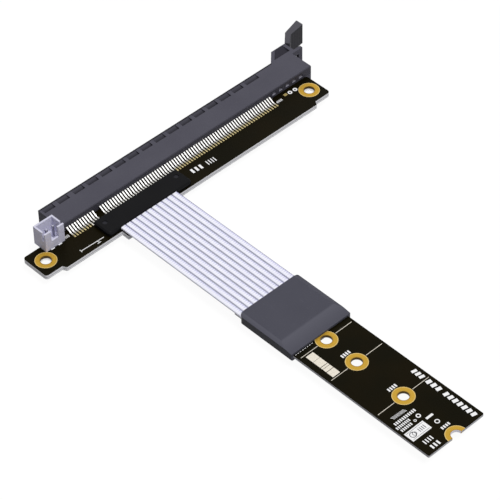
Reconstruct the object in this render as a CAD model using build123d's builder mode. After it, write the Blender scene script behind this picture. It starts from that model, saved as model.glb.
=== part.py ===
# Card-slot extension cable: a narrow drive board, a flat cable of eleven lanes and a
# slot board that carries a long card slot, lying on its side, along its back edge.
# Millimetres. The origin is the middle of the drive board's contact edge on its top
# face. +Y runs towards the mouth of the card slot and +Z is up.

import os
from math import floor

from build123d import *

os.makedirs("parts", exist_ok=True)

# Plated screw holes, the same size on both boards
screw_hole = 3.4
ring_width = 6.7
plating = 0.06
barrel_wall = 0.2
barrel_clearance = 0.01

# Drive board
drive_width = 22.0
drive_length = 80.0
drive_thickness = 0.8
tongue_width = 19.85
tongue_length = 4.0
board_corner = 0.5
key_width = 1.2
key_depth = 3.5
key_offset = 6.125
key_margin = 0.4
standoff_places = {"standoff_ring_30": 30.0, "standoff_ring_42": 42.0, "standoff_ring_60": 60.0}

# Plated contact fingers
finger_pitch = 0.5
finger_width = 0.35
finger_length = 2.2
finger_edge = 0.5
finger_setback = 0.3

# Flat cable
lane_count = 11
lane_pitch = 2.04
lane_width = 1.96
lane_height = 0.9
lane_edge = 0.22
cable_centre = -0.25
cable_reach = 50.5
lane_in_sleeve = 5.5
lane_in_cover = 6.0
cable_clearance = 0.15

# Solder pads under the lane ends
cable_pad_width = 1.4
cable_pad_length = 2.6
cable_pad_height = 0.1

# Sleeve on the drive board
sleeve_setback = 6.5
sleeve_length = 21.3
sleeve_side = 0.75
sleeve_above = 1.7
sleeve_below = 1.1
sleeve_bevel = 1.6
sleeve_bevel_drop = 0.5
sleeve_under_bevel = 0.5
sleeve_left_corner = 1.6
sleeve_right_corner = 0.6
sleeve_slope_length = 5.8
sleeve_slope_drop = 0.9
ring_relief = 0.1

# Cover on the slot board
cover_left = 4.65
cover_right = 6.25
cover_length = 7.6
cover_height = 1.5
cover_corner = 1.2
cover_edge = 0.45
cover_setback = 0.5
cover_lead_relief = 0.45
cover_lead_depth = 0.8
dimple_width = 1.6
dimple_depth = 0.3
dimple_inset = 2.35
dimple_from_back = 2.9

# Slot board
slot_board_left = -39.85
slot_board_width = 116.3
slot_board_depth = 11.9
slot_board_thickness = 1.6
ear_setback = 1.35
ear_left_width = 6.1
ear_right_width = 6.5
ear_step = 0.7
ear_corner = 1.0
cable_tongue_length = 2.8
mounting_spacing = 107.95
mounting_inset_x = 4.25
mounting_inset_y = 5.4

# Card slot housing
housing_inset = 14.35
housing_length = 104.0
housing_depth = 9.75
housing_height = 7.6
housing_edge = 0.25
card_gap = 1.75
card_depth = 8.0
card_end_margin = 1.2
lead_in = 0.5
key_wall = 1.7

# Spring contacts
contact_inset = 2.5
contact_pitch = 1.0
contacts_before_key = 11
contacts_after_key = 71
key_step = 3.0
groove_width = 0.62
groove_reach = 2.2
contact_width = 0.45
contact_thickness = 0.22
contact_exit = 2.1
contact_foot_length = 2.1
contact_foot_reach = 4.2
contact_slope_top = 0.2
contact_bulge_depth = 7.0
contact_bulge = 0.5
contact_tip_depth = 8.4
contact_tip = 1.15

# Ramped recesses along both edges of the slot's mouth
recess_depth = 0.8
recess_length = 4.05
recess_run = 2.4
recess_pitch = 5.45
first_recess_inset = 0.8
second_recess_right = 10.5
third_recess_right = 16.5
regular_recesses = 13
last_recess_gap = 1.4
last_recess_length = 5.3

# Shallow pockets in the rear face, between the last contacts and the latch
pocket_count = 5
pocket_pitch = 2.9
pocket_width = 1.5
pocket_height = 1.2
pocket_depth = 0.5
first_pocket_gap = 2.4
pocket_drop = 1.6

# Latch tower at the right end of the housing
tower_reach = 3.9
tower_width = 5.9
tower_overhang = 1.7
ear_reach = 4.5
ear_top_gap = 0.25
ear_thickness = 1.1
ear_end_wall = 1.6
latch_gap = 3.7
latch_slot_floor = 2.1
latch_slot_side = 7.0
cheek_recess_depth = 0.8
cheek_rim = 1.2
cheek_ramp_rim = 1.9
cheek_foot_rim = 0.3
cut_margin = 1.0

# Card latch
pivot_from_end = 1.7
pivot_from_back = 4.6
latch_side_clearance = 0.15
hub_radius = 2.2
trunnion_width = 2.4
trunnion_length = 1.2
trunnion_clearance = 0.05
trunnion_end_clearance = 0.1
latch_corner = 0.3

# Power header
header_inset = 6.5
header_width = 7.25
header_depth = 5.4
header_front = 3.0
header_height = 6.8
header_wall = 0.6
header_floor = 1.6
header_window_width = 2.7
header_window_sill = 3.0
header_side_cut = 0.9
header_side_sill = 3.8
header_pin_pitch = 2.5
header_pin_width = 0.64
header_pin_front = 2.3
header_pin_height = 6.2
header_pin_below = 1.7
header_hole = 1.0

# Small gold pad near the right ear
test_pad_width = 1.3
test_pad_length = 1.0
test_pad_from_right = 10.95
test_pad_from_back = 1.8

# Places that follow from the sizes
cable_front = -sleeve_setback
cover_front = cable_front + cable_reach
slot_board_front = cover_front - cover_setback
slot_board_back = slot_board_front + slot_board_depth
slot_board_right = slot_board_left + slot_board_width
cable_width = (lane_count - 1) * lane_pitch + lane_width
cable_left = cable_centre - cable_width / 2
cable_right = cable_centre + cable_width / 2
lane_places = [cable_centre + (i - (lane_count - 1) / 2) * lane_pitch for i in range(lane_count)]

slot_middle = -slot_board_thickness / 2
housing_left = slot_board_left + housing_inset
housing_right = housing_left + housing_length
housing_bottom = slot_middle - housing_height / 2
housing_top = slot_middle + housing_height / 2
mouth = slot_board_back + housing_depth

first_contact = housing_left + contact_inset
contact_before = [first_contact + i * contact_pitch for i in range(contacts_before_key)]
contact_after = [
    contact_before[-1] + key_step + i * contact_pitch for i in range(contacts_after_key)
]
contact_places = contact_before + contact_after
key_middle = (contact_before[-1] + contact_after[0]) / 2

pivot_x = housing_right - pivot_from_end
pivot_y = slot_board_back + pivot_from_back

mounting_y = slot_board_back - mounting_inset_y
mounting_left = slot_board_left + mounting_inset_x
mounting_right = mounting_left + mounting_spacing
barrel_width = screw_hole + 2 * barrel_wall
board_hole = barrel_width + 2 * barrel_clearance

header_left = slot_board_left + header_inset
header_middle = header_left + header_width / 2
header_y = slot_board_back - header_front
header_pin_y = header_y + header_pin_front


def plated_ring(x, y, thickness):
    """A plated screw hole: a thin flange on each face of the board and a barrel between."""
    with BuildPart(mode=Mode.PRIVATE) as ring:
        with BuildSketch(Plane.XY.offset(-thickness - plating)):
            with Locations((x, y)):
                Circle(ring_width / 2)
        extrude(amount=plating)
        with BuildSketch(Plane.XY):
            with Locations((x, y)):
                Circle(ring_width / 2)
        extrude(amount=plating)
        with BuildSketch(Plane.XY.offset(-thickness)):
            with Locations((x, y)):
                Circle(barrel_width / 2)
        extrude(amount=thickness)
        with BuildSketch(Plane.XY.offset(-thickness - plating)):
            with Locations((x, y)):
                Circle(screw_hole / 2)
        extrude(amount=thickness + 2 * plating, mode=Mode.SUBTRACT)
    return ring.part


def finish(piece, label):
    """Name a finished piece and write it to its own file."""
    piece.part.label = label
    export_step(piece.part, f"parts/{label}.step")


# Drive board: a narrower tongue with a key notch goes into the socket
with BuildPart() as drive_board:
    with BuildSketch(Plane.XY):
        with Locations((0, -drive_length / 2)):
            Rectangle(drive_width, drive_length)
        shoulder = (drive_width - tongue_width) / 2
        for side in (-1, 1):
            with Locations((side * (drive_width - shoulder) / 2, -tongue_length / 2)):
                Rectangle(shoulder, tongue_length, mode=Mode.SUBTRACT)
        chamfer(vertices().group_by(Axis.Y)[-1], length=board_corner)
        fillet(vertices().group_by(Axis.Y)[0], radius=board_corner)
        key_straight = key_depth - key_width / 2
        with Locations((key_offset, -key_straight / 2)):
            Rectangle(key_width, key_straight, mode=Mode.SUBTRACT)
        with Locations((key_offset, -key_straight)):
            Circle(key_width / 2, mode=Mode.SUBTRACT)
    extrude(amount=-drive_thickness)
    with BuildSketch(Plane.XY):
        with Locations(*[(0, -place) for place in standoff_places.values()]):
            Circle(board_hole / 2)
        with Locations((0, -drive_length)):
            Circle(board_hole / 2)
    extrude(amount=-drive_thickness, mode=Mode.SUBTRACT)
finish(drive_board, "drive_board")

for ring_name, place in standoff_places.items():
    with BuildPart() as standoff_ring:
        add(plated_ring(0, -place, drive_thickness))
    finish(standoff_ring, ring_name)

# The plated half hole at the far end is cut through by the board's edge
with BuildPart() as half_ring:
    add(plated_ring(0, -drive_length, drive_thickness))
    with BuildSketch(Plane.XY.offset(-drive_thickness - plating)):
        with Locations((0, -drive_length - ring_width / 2)):
            Rectangle(2 * ring_width, ring_width)
    extrude(amount=drive_thickness + 2 * plating, mode=Mode.SUBTRACT)
finish(half_ring, "half_ring_80")


def finger_places(even_count):
    """Centres of a row of fingers across the tongue, without those at the key notch."""
    half_row = (tongue_width / 2 - finger_edge) / finger_pitch
    if even_count:
        half_count = floor(half_row + 0.5)
        places = [(i + 0.5) * finger_pitch for i in range(-half_count, half_count)]
    else:
        half_count = floor(half_row)
        places = [i * finger_pitch for i in range(-half_count, half_count + 1)]
    return [x for x in places if abs(x - key_offset) > key_width / 2 + key_margin]


finger_y = -finger_setback - finger_length / 2
with BuildPart() as gold_fingers_top:
    with BuildSketch(Plane.XY):
        with Locations(*[(x, finger_y) for x in finger_places(True)]):
            Rectangle(finger_width, finger_length)
    extrude(amount=plating)
finish(gold_fingers_top, "gold_fingers_top")

with BuildPart() as gold_fingers_bottom:
    with BuildSketch(Plane.XY.offset(-drive_thickness - plating)):
        with Locations(*[(x, finger_y) for x in finger_places(False)]):
            Rectangle(finger_width, finger_length)
    extrude(amount=plating)
finish(gold_fingers_bottom, "gold_fingers_bottom")

# Slot board: two ears set back from the front edge and a short tongue under the cable
with BuildPart() as slot_board:
    with BuildSketch(Plane.XY):
        ear_y = slot_board_front + ear_setback
        step_left = slot_board_left + ear_left_width
        step_right = slot_board_right - ear_right_width
        tongue_y = slot_board_front - cable_tongue_length
        with BuildLine():
            Polyline(
                (slot_board_left, ear_y),
                (step_left, ear_y),
                (step_left + ear_step, slot_board_front),
                (cable_left - cable_clearance, slot_board_front),
                (cable_left - cable_clearance, tongue_y),
                (cable_right, tongue_y),
                (cable_right, slot_board_front),
                (step_right - ear_step, slot_board_front),
                (step_right, ear_y),
                (slot_board_right, ear_y),
                (slot_board_right, slot_board_back),
                (slot_board_left, slot_board_back),
                close=True,
            )
        make_face()
        ear_ends = vertices().group_by(Axis.X)[0] + vertices().group_by(Axis.X)[-1]
        fillet(ear_ends, radius=ear_corner)
        with Locations((mounting_left, mounting_y), (mounting_right, mounting_y)):
            Circle(board_hole / 2, mode=Mode.SUBTRACT)
        with Locations((header_middle, header_pin_y)):
            with GridLocations(header_pin_pitch, 0, 2, 1):
                Circle(header_hole / 2, mode=Mode.SUBTRACT)
    extrude(amount=-slot_board_thickness)
finish(slot_board, "slot_board")

with BuildPart() as mounting_ring_left:
    add(plated_ring(mounting_left, mounting_y, slot_board_thickness))
finish(mounting_ring_left, "mounting_ring_left")

with BuildPart() as mounting_ring_right:
    add(plated_ring(mounting_right, mounting_y, slot_board_thickness))
finish(mounting_ring_right, "mounting_ring_right")

with BuildPart() as test_pad:
    with BuildSketch(Plane.XY):
        pad_x = slot_board_right - test_pad_from_right
        with Locations((pad_x, slot_board_back - test_pad_from_back)):
            Rectangle(test_pad_width, test_pad_length)
    extrude(amount=plating)
finish(test_pad, "test_pad")

# Slot housing: the card slot opens towards +Y, between two rows of contact grooves
with BuildPart() as slot_housing:
    with BuildSketch(Plane.XY.offset(housing_bottom)):
        housing_middle = (housing_left + housing_right) / 2
        with Locations((housing_middle, slot_board_back + housing_depth / 2)):
            Rectangle(housing_length, housing_depth)
        # The latch tower with its ramp and the ear beside it
        tower_right = housing_right + tower_overhang
        tower_left = tower_right - tower_width
        tower_top = mouth + tower_reach
        ear_tip = housing_right + ear_reach
        ear_top = mouth - ear_top_gap
        ear_bottom = ear_top - ear_thickness
        with BuildLine():
            Polyline(
                (housing_right - tower_width, slot_board_back),
                (housing_right, slot_board_back),
                (housing_right, ear_bottom),
                (ear_tip, ear_bottom),
                (ear_tip, ear_top),
                (tower_right, ear_top),
                (tower_right, tower_top),
                (tower_left, tower_top),
                (tower_left - tower_reach, mouth),
                close=True,
            )
        make_face()
    extrude(amount=housing_height)
    outer_edges = edges().filter_by(Axis.X).group_by(Axis.Y)[0]
    chamfer(outer_edges, length=housing_edge)

    # Card slot on both sides of the key wall
    card_floor = mouth - card_depth
    before_left = contact_before[0] - card_end_margin
    before_right = key_middle - key_wall / 2
    after_left = key_middle + key_wall / 2
    after_right = contact_after[-1] + card_end_margin
    for left, right in ((before_left, before_right), (after_left, after_right)):
        with BuildSketch(Plane.XY.offset(slot_middle)):
            with Locations(((left + right) / 2, mouth - card_depth / 2)):
                Rectangle(right - left, card_depth)
        extrude(amount=card_gap / 2, both=True, mode=Mode.SUBTRACT)

    # Sloped lead-in round the mouth of both stretches
    with BuildSketch(Plane.YZ.offset(before_left)):
        with BuildLine():
            Polyline(
                (mouth - lead_in, slot_middle - card_gap / 2),
                (mouth, slot_middle - card_gap / 2 - lead_in),
                (mouth, slot_middle + card_gap / 2 + lead_in),
                (mouth - lead_in, slot_middle + card_gap / 2),
                close=True,
            )
        make_face()
    extrude(amount=after_right - before_left, mode=Mode.SUBTRACT)

    # One groove for each contact runs from the back face to the mouth
    for side in (-1, 1):
        groove_inner = slot_middle + side * card_gap / 2
        with BuildSketch(Plane.XY.offset(groove_inner)):
            with Locations(*[(x, slot_board_back + housing_depth / 2) for x in contact_places]):
                Rectangle(groove_width, housing_depth)
        extrude(amount=side * (groove_reach - card_gap / 2), mode=Mode.SUBTRACT)

    # Ramped recesses along the mouth, on the top and on the underside, deepest at the back
    recess_spans = [
        (housing_left + first_recess_inset, housing_left + first_recess_inset + recess_length),
        (housing_left + second_recess_right - recess_length, housing_left + second_recess_right),
    ]
    for i in range(regular_recesses):
        right = housing_left + third_recess_right + i * recess_pitch
        recess_spans.append((right - recess_length, right))
    last_left = recess_spans[-1][1] + last_recess_gap
    recess_spans.append((last_left, last_left + last_recess_length))
    for left, right in recess_spans:
        with BuildSketch(Plane.YZ.offset(left)):
            for level, direction in ((housing_top, -1), (housing_bottom, 1)):
                with BuildLine():
                    Polyline(
                        (mouth - recess_run, level),
                        (mouth, level),
                        (mouth - recess_run, level + direction * recess_depth),
                        close=True,
                    )
                make_face()
        extrude(amount=right - left, mode=Mode.SUBTRACT)

    # A row of shallow pockets in the rear face, above the board
    first_pocket = contact_after[-1] + first_pocket_gap
    pocket_level = housing_top - pocket_drop
    with BuildSketch(Plane.XZ.offset(-slot_board_back)):
        with Locations(*[(first_pocket + i * pocket_pitch, pocket_level) for i in range(pocket_count)]):
            Rectangle(pocket_width, pocket_height)
    extrude(amount=-pocket_depth, mode=Mode.SUBTRACT)

    # Slot for the latch between two cheeks, open towards +Y, with the ear's end as a stop
    latch_slot_left = housing_right - latch_slot_side
    latch_slot_bottom = slot_board_back + latch_slot_floor
    with BuildSketch(Plane.XY.offset(slot_middle)):
        slot_corner = (latch_slot_left, latch_slot_bottom)
        with Locations(slot_corner):
            Rectangle(
                ear_tip - ear_end_wall - latch_slot_left,
                tower_top - latch_slot_bottom + cut_margin,
                align=(Align.MIN, Align.MIN),
            )
    extrude(amount=latch_gap / 2, both=True, mode=Mode.SUBTRACT)

    # Blind holes for the trunnions
    trunnion_hole = trunnion_width + 2 * trunnion_clearance
    hole_reach = latch_gap / 2 - latch_side_clearance + trunnion_length + trunnion_end_clearance
    with BuildSketch(Plane.XY.offset(slot_middle)):
        with Locations((pivot_x, pivot_y)):
            Circle(trunnion_hole / 2)
    extrude(amount=hole_reach, both=True, mode=Mode.SUBTRACT)

    # Sunken panel on each outer face of the tower: a ramp that runs out at the tower's end
    panel_foot = mouth + cheek_foot_rim
    panel_left = tower_left - tower_reach + cheek_ramp_rim
    with BuildPart(mode=Mode.PRIVATE) as panel_ramp:
        with BuildSketch(Plane.YZ.offset(panel_left)):
            for level, direction in ((housing_top, -1), (housing_bottom, 1)):
                with BuildLine():
                    Polyline(
                        (panel_foot, level),
                        (tower_top, level),
                        (panel_foot, level + direction * cheek_recess_depth),
                        close=True,
                    )
                make_face()
        extrude(amount=tower_right - cheek_rim - panel_left)
        with BuildSketch(Plane.XY.offset(housing_bottom)):
            with BuildLine():
                Polyline(
                    (panel_left, panel_foot),
                    (panel_left + tower_reach - cheek_foot_rim, tower_top),
                    (tower_right - cheek_rim, tower_top),
                    (tower_right - cheek_rim, panel_foot),
                    close=True,
                )
            make_face()
        extrude(amount=housing_height, mode=Mode.INTERSECT)
    add(panel_ramp.part, mode=Mode.SUBTRACT)
finish(slot_housing, "slot_housing")


def contact(side):
    """One spring contact: a soldered foot, a slope up to the housing and a beam to its bulge."""
    back = slot_board_back
    board_face = slot_board_thickness / 2
    outer = contact_exit
    inner = contact_exit - contact_thickness
    profile = [
        (back - contact_foot_reach, board_face),
        (back - contact_foot_reach, board_face + contact_thickness),
        (back - contact_foot_length, board_face + contact_thickness),
        (back - contact_slope_top, outer),
        (back + contact_bulge_depth, contact_bulge + contact_thickness),
        (back + contact_tip_depth, contact_tip),
        (back + contact_bulge_depth, contact_bulge),
        (back - contact_slope_top, inner),
        (back - contact_foot_length, board_face),
    ]
    with BuildPart(mode=Mode.PRIVATE) as spring:
        with BuildSketch(Plane.YZ):
            with BuildLine():
                Polyline(*[(y, slot_middle + side * z) for y, z in profile], close=True)
            make_face()
        extrude(amount=contact_width / 2, both=True)
    return spring.part


for row_name, side in (("contacts_upper", 1), ("contacts_lower", -1)):
    with BuildPart() as contact_row:
        with Locations(*[(x, 0, 0) for x in contact_places]):
            add(contact(side))
    finish(contact_row, row_name)

# Card latch: a hub on two trunnions, a hook over the card's edge and a finger tab.
# Its outlines are drawn from the pivot.
with BuildPart() as card_latch:
    latch_half = latch_gap / 2 - latch_side_clearance
    pivot_plane = Plane((pivot_x, pivot_y, slot_middle))
    stem_left = (3.7, 9.3)
    stem_right = (4.6, 7.9)
    with BuildSketch(pivot_plane):
        with BuildLine():
            Polyline(
                (-1.9, 0.8),
                (-1.5, 5.2),
                (-3.6, 6.4),
                (-3.6, 7.2),
                (-1.3, 8.4),
                stem_left,
                stem_right,
                (2.8, 5.0),
                (2.1, 0.6),
                close=True,
            )
        make_face()
        Circle(hub_radius)
    extrude(amount=latch_half, both=True)
    with BuildSketch(pivot_plane):
        with BuildLine():
            Polyline(
                stem_left,
                (7.3, 12.8),
                (14.3, 14.75),
                (14.3, 11.8),
                (8.1, 10.9),
                stem_right,
                close=True,
            )
        make_face()
        fillet(vertices().group_by(Axis.X)[-1], radius=latch_corner)
    extrude(amount=housing_height / 2, both=True)
    with BuildSketch(pivot_plane):
        Circle(trunnion_width / 2)
    extrude(amount=latch_half + trunnion_length, both=True)
finish(card_latch, "card_latch")

# Cover over the cable's end, hollow below for the lanes and for the contact feet
with BuildPart() as cable_cover:
    cover_x = (cable_left - cover_left + cable_right + cover_right) / 2
    cover_width = cable_width + cover_left + cover_right
    cover_y = cover_front + cover_length / 2
    with BuildSketch(Plane.XY):
        with Locations((cover_x, cover_y)):
            RectangleRounded(cover_width, cover_length, cover_corner)
    extrude(amount=cover_height)
    chamfer(faces().sort_by(Axis.Z)[-1].edges(), length=cover_edge)
    channel_length = lane_in_cover + cable_clearance
    channel_height = cable_pad_height + lane_height + cable_clearance
    with BuildSketch(Plane.XY):
        with Locations((cable_centre, cover_front + channel_length / 2)):
            Rectangle(cable_width + 2 * cable_clearance, channel_length)
    extrude(amount=channel_height, mode=Mode.SUBTRACT)
    with BuildSketch(Plane.XY):
        with Locations((cover_x, cover_front + cover_length - cover_lead_depth / 2)):
            Rectangle(cover_width, cover_lead_depth)
    extrude(amount=cover_lead_relief, mode=Mode.SUBTRACT)
    with BuildSketch(Plane.XY.offset(cover_height)):
        dimple_y = cover_front + cover_length - dimple_from_back
        dimple_spacing = cover_width - 2 * dimple_inset
        with Locations((cover_x, dimple_y)):
            with GridLocations(dimple_spacing, 0, 2, 1):
                Circle(dimple_width / 2)
    extrude(amount=-dimple_depth, mode=Mode.SUBTRACT)
finish(cable_cover, "cable_cover")

# Power header: an open box with a window in front and a cut in each side wall
with BuildPart() as header_housing:
    header_back = header_y + header_depth
    with BuildSketch(Plane.XY):
        with Locations((header_middle, header_y + header_depth / 2)):
            Rectangle(header_width, header_depth)
    extrude(amount=header_height)
    with BuildSketch(Plane.XY.offset(header_floor)):
        with Locations((header_middle, header_y + header_depth / 2)):
            Rectangle(header_width - 2 * header_wall, header_depth - 2 * header_wall)
    extrude(amount=header_height - header_floor, mode=Mode.SUBTRACT)
    with BuildSketch(Plane.XY.offset(header_window_sill)):
        with Locations((header_middle, header_y + header_wall / 2)):
            Rectangle(header_window_width, header_wall)
    extrude(amount=header_height - header_window_sill, mode=Mode.SUBTRACT)
    with BuildSketch(Plane.XY.offset(header_side_sill)):
        with Locations((header_middle, header_y + header_wall + header_side_cut / 2)):
            Rectangle(header_width, header_side_cut)
    extrude(amount=header_height - header_side_sill, mode=Mode.SUBTRACT)
    with BuildSketch(Plane.XY):
        with Locations((header_middle, header_pin_y)):
            with GridLocations(header_pin_pitch, 0, 2, 1):
                Rectangle(header_pin_width, header_pin_width)
    extrude(amount=header_floor, mode=Mode.SUBTRACT)
finish(header_housing, "header_housing")

with BuildPart() as header_pins:
    pin_bottom = -slot_board_thickness - header_pin_below
    with BuildSketch(Plane.XY.offset(pin_bottom)):
        with Locations((header_middle, header_pin_y)):
            with GridLocations(header_pin_pitch, 0, 2, 1):
                Rectangle(header_pin_width, header_pin_width)
    extrude(amount=header_pin_height - pin_bottom)
    chamfer(faces().group_by(Axis.Z)[-1].edges(), length=header_pin_width / 4)
finish(header_pins, "header_pins")

# Flat cable: each lane runs straight from the sleeve to the cover, just above the boards
lane_start = cable_front - lane_in_sleeve
lane_length = lane_in_sleeve + cable_reach + lane_in_cover
lane_level = cable_pad_height + lane_height / 2
for number, lane_x in enumerate(lane_places, start=1):
    with BuildPart() as lane:
        with BuildSketch(Plane.XZ.offset(-lane_start)):
            with Locations((lane_x, lane_level)):
                Rectangle(lane_width, lane_height)
            chamfer(vertices(), length=lane_edge)
        extrude(amount=-lane_length)
    finish(lane, f"ribbon_lane_{number:02d}")

pad_inset = (lane_in_sleeve - cable_pad_length) / 2
pad_rows = {
    "cable_pads_drive": lane_start + pad_inset + cable_pad_length / 2,
    "cable_pads_slot": lane_start + lane_length - pad_inset - cable_pad_length / 2,
}
for pad_row_name, pad_y in pad_rows.items():
    with BuildPart() as cable_pads:
        with BuildSketch(Plane.XY):
            with Locations(*[(x, pad_y) for x in lane_places]):
                Rectangle(cable_pad_width, cable_pad_length)
        extrude(amount=cable_pad_height)
    finish(cable_pads, pad_row_name)

# Sleeve: moulded round the drive board, with a channel for the board and the lanes
with BuildPart() as cable_sleeve:
    sleeve_bottom = -drive_thickness - sleeve_below
    sleeve_height = sleeve_above - sleeve_bottom
    sleeve_width = drive_width + 2 * sleeve_side
    sleeve_back = cable_front - sleeve_length
    half = sleeve_width / 2
    with BuildSketch(Plane.XZ.offset(-cable_front)):
        with BuildLine():
            Polyline(
                (-half + sleeve_under_bevel, sleeve_bottom),
                (half - sleeve_under_bevel, sleeve_bottom),
                (half, sleeve_bottom + sleeve_under_bevel),
                (half, sleeve_above - sleeve_bevel_drop),
                (half - sleeve_bevel, sleeve_above),
                (-half + sleeve_bevel, sleeve_above),
                (-half, sleeve_above - sleeve_bevel_drop),
                (-half, sleeve_bottom + sleeve_under_bevel),
                close=True,
            )
        make_face()
    extrude(amount=sleeve_length)
    with BuildSketch(Plane.XY.offset(sleeve_bottom)):
        with Locations((0, cable_front - sleeve_length / 2)):
            Rectangle(sleeve_width, sleeve_length)
        far_corners = vertices().group_by(Axis.Y)[-1].sort_by(Axis.X)
        fillet(far_corners[0], radius=sleeve_left_corner)
        fillet(vertices().group_by(Axis.Y)[-1].sort_by(Axis.X)[-1], radius=sleeve_right_corner)
    extrude(amount=sleeve_height, mode=Mode.INTERSECT)
    # The far end thins down to the board
    with BuildSketch(Plane.YZ.offset(-half)):
        with BuildLine():
            Polyline(
                (sleeve_back + sleeve_slope_length, sleeve_above),
                (sleeve_back, sleeve_above),
                (sleeve_back, sleeve_above - sleeve_slope_drop),
                close=True,
            )
        make_face()
    extrude(amount=sleeve_width, mode=Mode.SUBTRACT)
    with BuildSketch(Plane.XY):
        with Locations((0, cable_front - sleeve_length / 2)):
            Rectangle(drive_width, sleeve_length)
    extrude(amount=-drive_thickness, mode=Mode.SUBTRACT)
    sleeve_channel = lane_in_sleeve + cable_clearance
    with BuildSketch(Plane.XY):
        with Locations((cable_centre, cable_front - sleeve_channel / 2)):
            Rectangle(cable_width + 2 * cable_clearance, sleeve_channel)
    extrude(amount=cable_pad_height + lane_height + cable_clearance, mode=Mode.SUBTRACT)
    # Room for the flanges of the nearest plated hole
    nearest_hole = min(standoff_places.values())
    for level, direction in ((0, 1), (-drive_thickness, -1)):
        with BuildSketch(Plane.XY.offset(level)):
            with Locations((0, -nearest_hole)):
                Circle(ring_width / 2 + ring_relief)
        extrude(amount=direction * (plating + ring_relief), mode=Mode.SUBTRACT)
finish(cable_sleeve, "cable_sleeve")
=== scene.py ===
# %% [markdown]
# # A card-slot extension cable
# This lesson dresses a finished model. The narrow drive board, the flat cable and the slot board with
# its long card slot are already there, at their real size, as the frame. What is left is how they
# look: moulded plastic, black solder mask, gold and tin, printed marks and the ribbed film of the
# cable. We start with the frame, because every place in the lesson is read from it.

# %% Load the frame
import math

import bpy
import numpy as np
from mathutils import Matrix, Vector


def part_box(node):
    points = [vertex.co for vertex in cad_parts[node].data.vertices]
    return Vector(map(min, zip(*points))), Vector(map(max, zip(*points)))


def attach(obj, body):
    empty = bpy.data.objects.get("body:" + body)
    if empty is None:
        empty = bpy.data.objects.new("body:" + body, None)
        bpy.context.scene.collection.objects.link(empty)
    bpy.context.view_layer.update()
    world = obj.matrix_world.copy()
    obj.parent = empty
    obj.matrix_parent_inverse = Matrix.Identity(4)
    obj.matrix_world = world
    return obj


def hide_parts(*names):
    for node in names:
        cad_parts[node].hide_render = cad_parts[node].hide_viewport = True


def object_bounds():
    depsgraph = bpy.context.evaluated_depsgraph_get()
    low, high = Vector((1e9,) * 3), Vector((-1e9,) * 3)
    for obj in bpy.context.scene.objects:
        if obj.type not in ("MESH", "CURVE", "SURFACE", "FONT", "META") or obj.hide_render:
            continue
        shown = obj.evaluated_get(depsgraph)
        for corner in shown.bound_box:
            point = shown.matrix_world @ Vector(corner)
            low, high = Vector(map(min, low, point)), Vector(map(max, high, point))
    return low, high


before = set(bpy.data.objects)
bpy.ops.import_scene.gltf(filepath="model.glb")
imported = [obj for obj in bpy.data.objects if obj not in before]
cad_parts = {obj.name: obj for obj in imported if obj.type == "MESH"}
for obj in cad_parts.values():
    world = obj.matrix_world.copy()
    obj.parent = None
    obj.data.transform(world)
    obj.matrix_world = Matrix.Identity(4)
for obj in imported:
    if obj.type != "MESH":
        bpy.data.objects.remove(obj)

cad_low, cad_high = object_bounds()
MM = 0.001
print("nodes:", len(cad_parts), "size in mm:", [round(v / MM, 1) for v in cad_high - cad_low])

# %% [markdown]
# ## Helpers
# Lengths are easiest to read in millimetres, and Blender works in metres, so `box_mm` reads a node's
# corners in millimetres and `make_piece` turns millimetres back at the very end. A colour is written
# as sRGB hex, as a paint chart has it, and one function turns it to the linear light that shaders add.


# %% Sizes and colours
def box_mm(node):
    """Lowest and highest corner of a CAD node, as two arrays in millimetres."""
    low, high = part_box(node)
    return np.array(low) / MM, np.array(high) / MM


def linear(hex_colour):
    """sRGB hex to linear RGBA: each channel is divided by 12.92 when dark, else raised to 2.4."""
    srgb = [int(hex_colour[i:i + 2], 16) / 255 for i in (1, 3, 5)]
    return [c / 12.92 if c <= 0.04045 else ((c + 0.055) / 1.055) ** 2.4 for c in srgb] + [1.0]


def per_mm(size):
    """The scale of a texture on Object coordinates whose features are this many millimetres."""
    return 1 / (size * MM)


print("a mid grey is", round(linear("#808080")[0], 3), "in linear light")


# %% [markdown]
# A material is a small graph. One function adds a node, sets it up and links it, and every material
# below is written with it. The graphs read Object coordinates: no piece is ever moved or scaled, so
# those are real metres, and a pattern has its real size.


# %% Add a node, start a material
def add_node(tree, kind, inputs=None, **settings):
    """Adds one node. inputs maps sockets to plain values or to the outputs that feed them."""
    node = tree.nodes.new(kind)
    for name, value in settings.items():
        setattr(node, name, value)
    for socket, value in (inputs or {}).items():
        if isinstance(value, bpy.types.NodeSocket):
            tree.links.new(value, node.inputs[socket])
        else:
            node.inputs[socket].default_value = value
    return node


def start_material(name, colour, **constants):
    """A material in one colour. constants set sockets of its shader, with _ for each space."""
    material = bpy.data.materials.new(name)
    material.use_nodes = True
    tree = material.node_tree
    shader = tree.nodes["Principled BSDF"]
    shader.inputs["Base Color"].default_value = linear(colour)
    for socket, value in constants.items():
        shader.inputs[socket.replace("_", " ")].default_value = value
    place = add_node(tree, "ShaderNodeTexCoord").outputs["Object"]
    return material, tree, shader, place


def dress(nodes, material):
    """Gives CAD nodes a better material, through the slots that they already have."""
    for name in nodes:
        for material_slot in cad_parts[name].material_slots:
            material_slot.material = material


# %% [markdown]
# A colour is built up as a painter does it. It starts as one flat tone, and `tint` lays more tones
# over it, each by a factor from nothing to one. The factor says where: `inside` is one in a chosen
# place and nothing elsewhere, `along` changes evenly from one place to another, and `clouds` lays a
# tone on by soft noise, as an uneven mix or a thin coat has it.


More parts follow.
